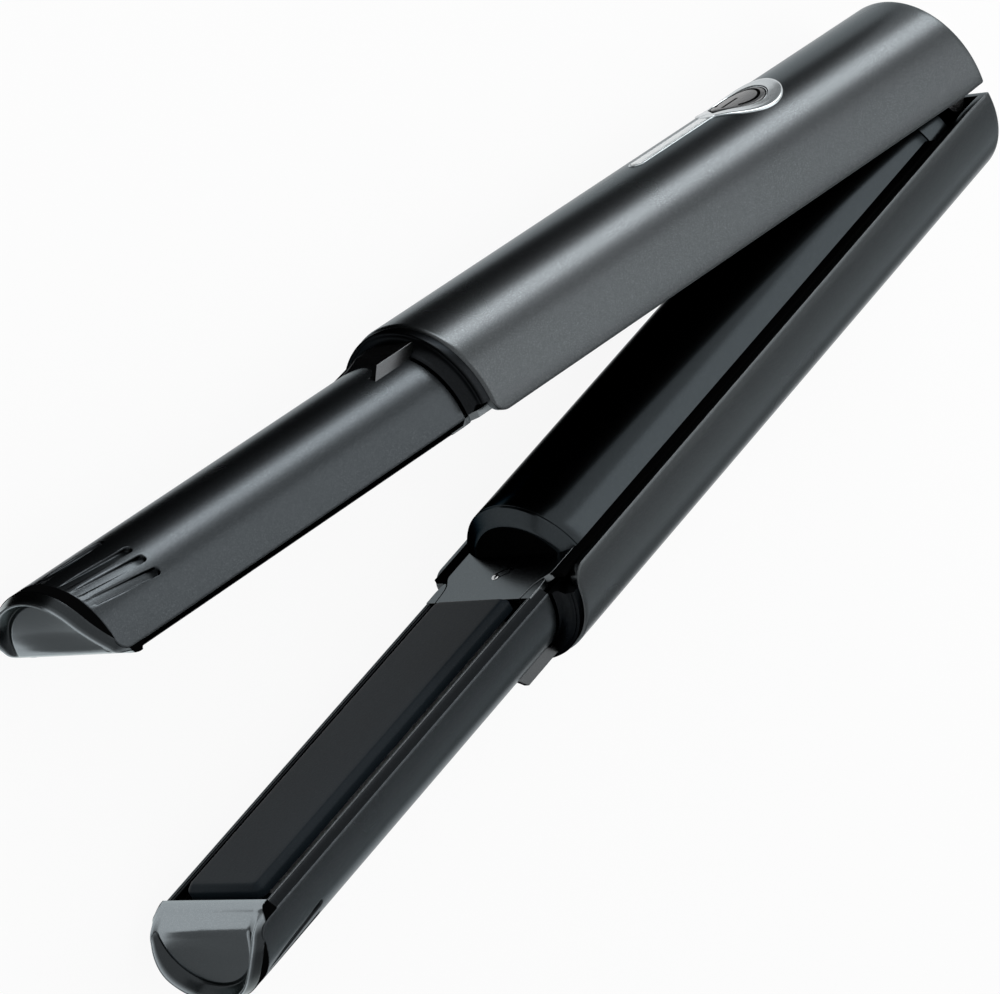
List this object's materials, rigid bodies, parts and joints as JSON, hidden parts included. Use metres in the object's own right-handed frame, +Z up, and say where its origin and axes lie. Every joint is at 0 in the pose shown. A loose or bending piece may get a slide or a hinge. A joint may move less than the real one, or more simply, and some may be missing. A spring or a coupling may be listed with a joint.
{
  "type": "hair straightener",
  "caption": "Cordless hair straightener lying open: two half-round arms on a rear hinge, floating hot plates in slim barrels, a battery tube in the lower handle and a round key on top.",
  "frame": {"origin": "middle of the bounding box, on the surface that both handle shells lie on", "axes": "+X from the hinge to the tips along the middle of the open arms, +Z up along the hinge pin, +Y towards the lower (battery) arm"},
  "size_m": [0.2592, 0.0868, 0.0376],
  "materials": {
    "handle": "satin metallic gunmetal",
    "barrel": "satin dark metallic",
    "trim": "glossy black",
    "tip": "glossy grey",
    "rest": "satin dark grey",
    "panel": "fine matt grey",
    "plate": "ceramic coated, dark satin",
    "heater": "cast",
    "tube": "glossy black",
    "cell": "shrink sleeve",
    "contact": "plated",
    "hinge_plastic": "moulded, glass filled",
    "steel": "ground",
    "socket": "moulded",
    "nest": "moulded",
    "board": "solder mask",
    "part": "moulded",
    "lamp": "diffusing white",
    "bezel": "bluish plated",
    "key": "metallic grey",
    "pad": "silicone",
    "fuse": "glazed"
  },
  "bodies": {
    "lower_arm": {"lower_handle_shell": "handle", "lower_collar": "trim", "lower_finger_rest": "rest", "lower_barrel_shell": "barrel", "lower_frame": "trim", "lower_tip_cap": "tip", "lower_inner_panel": "panel", "lower_panel_screw": "steel", "lower_rear_pad": "pad", "lower_front_pad": "pad", "battery_tube": "tube", "tube_nose_cap": "tube", "rear_cell": "cell", "front_cell": "cell", "rear_terminal": "contact", "front_terminal": "contact", "hinge_block": "hinge_plastic", "hinge_pin": "steel", "near_pin_clip": "steel", "far_pin_clip": "steel", "hinge_spring": "steel", "charging_socket": "socket"},
    "upper_arm": {"hinge_fork": "hinge_plastic", "upper_handle_shell": "handle", "upper_collar": "trim", "upper_finger_rest": "rest", "upper_barrel_shell": "barrel", "upper_frame": "trim", "upper_tip_cap": "tip", "upper_inner_panel": "panel", "upper_panel_screw": "steel", "upper_rear_pad": "pad", "upper_front_pad": "pad", "tube_nest": "nest", "control_board": "board", "tact_switch": "part", "status_led": "lamp", "charge_module": "part", "button_bezel": "bezel", "light_bar": "lamp"},
    "lower_plate_body": {"lower_plate": "plate", "lower_heater": "heater", "lower_thermal_fuse": "fuse"},
    "upper_plate_body": {"upper_plate": "plate", "upper_heater": "heater", "upper_thermistor": "fuse"},
    "power_key_body": {"power_key": "key"}
  },
  "joints": [
    {"name": "main_hinge", "type": "hinge", "parent": "lower_arm", "child": "upper_arm", "pos_m": [-0.12293, 0, 0.0188], "axis": [0, 0, 1], "range_deg": [0, 11.7], "stiffness_Nm_per_rad": 0.6, "springref_deg": -20.05},
    {"name": "lower_plate_float", "type": "slide", "parent": "lower_arm", "child": "lower_plate_body", "axis": [-0.1054, 0.9944, 0], "range_m": [0, 0.0008], "stiffness_N_per_m": 2500, "springref_m": -0.001},
    {"name": "upper_plate_float", "type": "slide", "parent": "upper_arm", "child": "upper_plate_body", "axis": [-0.1054, -0.9944, 0], "range_m": [0, 0.0008], "stiffness_N_per_m": 2500, "springref_m": -0.001},
    {"name": "power_key_press", "type": "slide", "parent": "upper_arm", "child": "power_key_body", "axis": [0.1054, 0.9944, 0], "range_m": [0, 0.0006], "stiffness_N_per_m": 1200, "springref_m": -0.0008}
  ]
}
